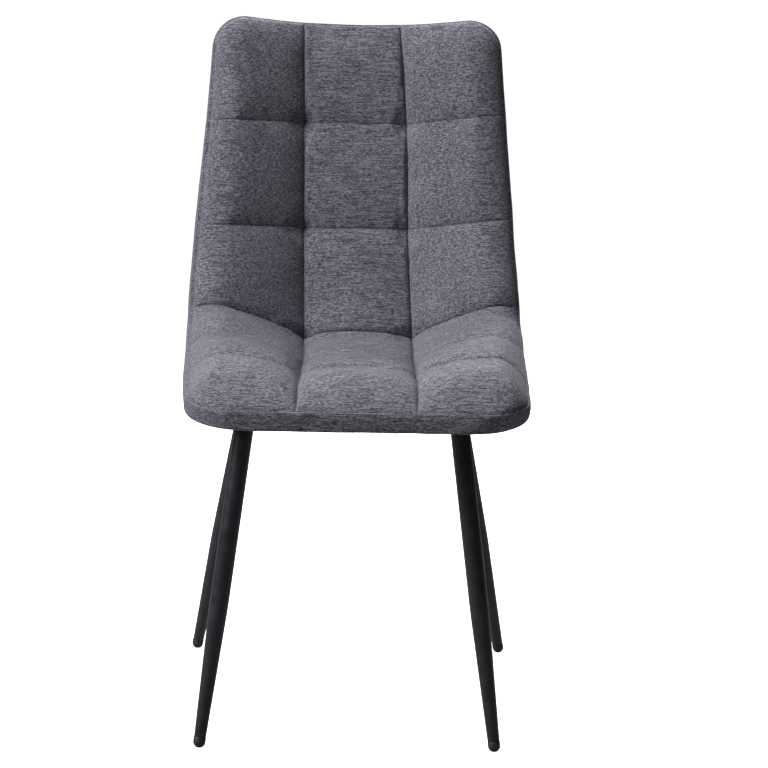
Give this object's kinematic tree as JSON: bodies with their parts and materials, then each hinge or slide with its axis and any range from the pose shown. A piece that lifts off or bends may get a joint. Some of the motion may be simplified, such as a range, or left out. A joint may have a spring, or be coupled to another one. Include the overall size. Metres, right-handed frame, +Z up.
{
  "type": "upholstered dining chair",
  "caption": "Armless dining chair: square-quilted grey fabric bucket seat and back in one shell, on splayed, tapered black steel legs.",
  "frame": {"origin": "on the floor, at the centre of the bounding box seen from above", "axes": "+X to the right seen from in front, the sitter faces -Y, +Z up"},
  "size_m": [0.4402, 0.5414, 0.8834],
  "materials": {
    "grey_fabric": "matte",
    "foam": "matte",
    "plywood": "matte",
    "black_nonwoven": "matte",
    "black_steel": "satin",
    "black_plastic": "matte",
    "zinc_steel": "satin"
  },
  "bodies": {
    "root": {"plywood_shell": "plywood", "seat_foam": "foam", "back_foam": "foam", "quilted_cover": "grey_fabric", "boxing_band": "grey_fabric", "outer_cover": "grey_fabric", "dust_cover": "black_nonwoven", "front_crossbar": "black_steel", "rear_crossbar": "black_steel", "front_left_leg": "black_steel", "front_left_foot_cap": "black_plastic", "front_right_leg": "black_steel", "front_right_foot_cap": "black_plastic", "rear_left_leg": "black_steel", "rear_left_foot_cap": "black_plastic", "rear_right_leg": "black_steel", "rear_right_foot_cap": "black_plastic", "flat_washer_1": "zinc_steel", "spring_washer_1": "zinc_steel", "bolt_1": "zinc_steel", "tee_nut_1": "zinc_steel", "flat_washer_2": "zinc_steel", "spring_washer_2": "zinc_steel", "bolt_2": "zinc_steel", "tee_nut_2": "zinc_steel", "flat_washer_3": "zinc_steel", "spring_washer_3": "zinc_steel", "bolt_3": "zinc_steel", "tee_nut_3": "zinc_steel", "flat_washer_4": "zinc_steel", "spring_washer_4": "zinc_steel", "bolt_4": "zinc_steel", "tee_nut_4": "zinc_steel", "flat_washer_5": "zinc_steel", "spring_washer_5": "zinc_steel", "bolt_5": "zinc_steel", "tee_nut_5": "zinc_steel", "flat_washer_6": "zinc_steel", "spring_washer_6": "zinc_steel", "bolt_6": "zinc_steel", "tee_nut_6": "zinc_steel", "flat_washer_7": "zinc_steel", "spring_washer_7": "zinc_steel", "bolt_7": "zinc_steel", "tee_nut_7": "zinc_steel", "flat_washer_8": "zinc_steel", "spring_washer_8": "zinc_steel", "bolt_8": "zinc_steel", "tee_nut_8": "zinc_steel"}
  },
  "joints": []
}
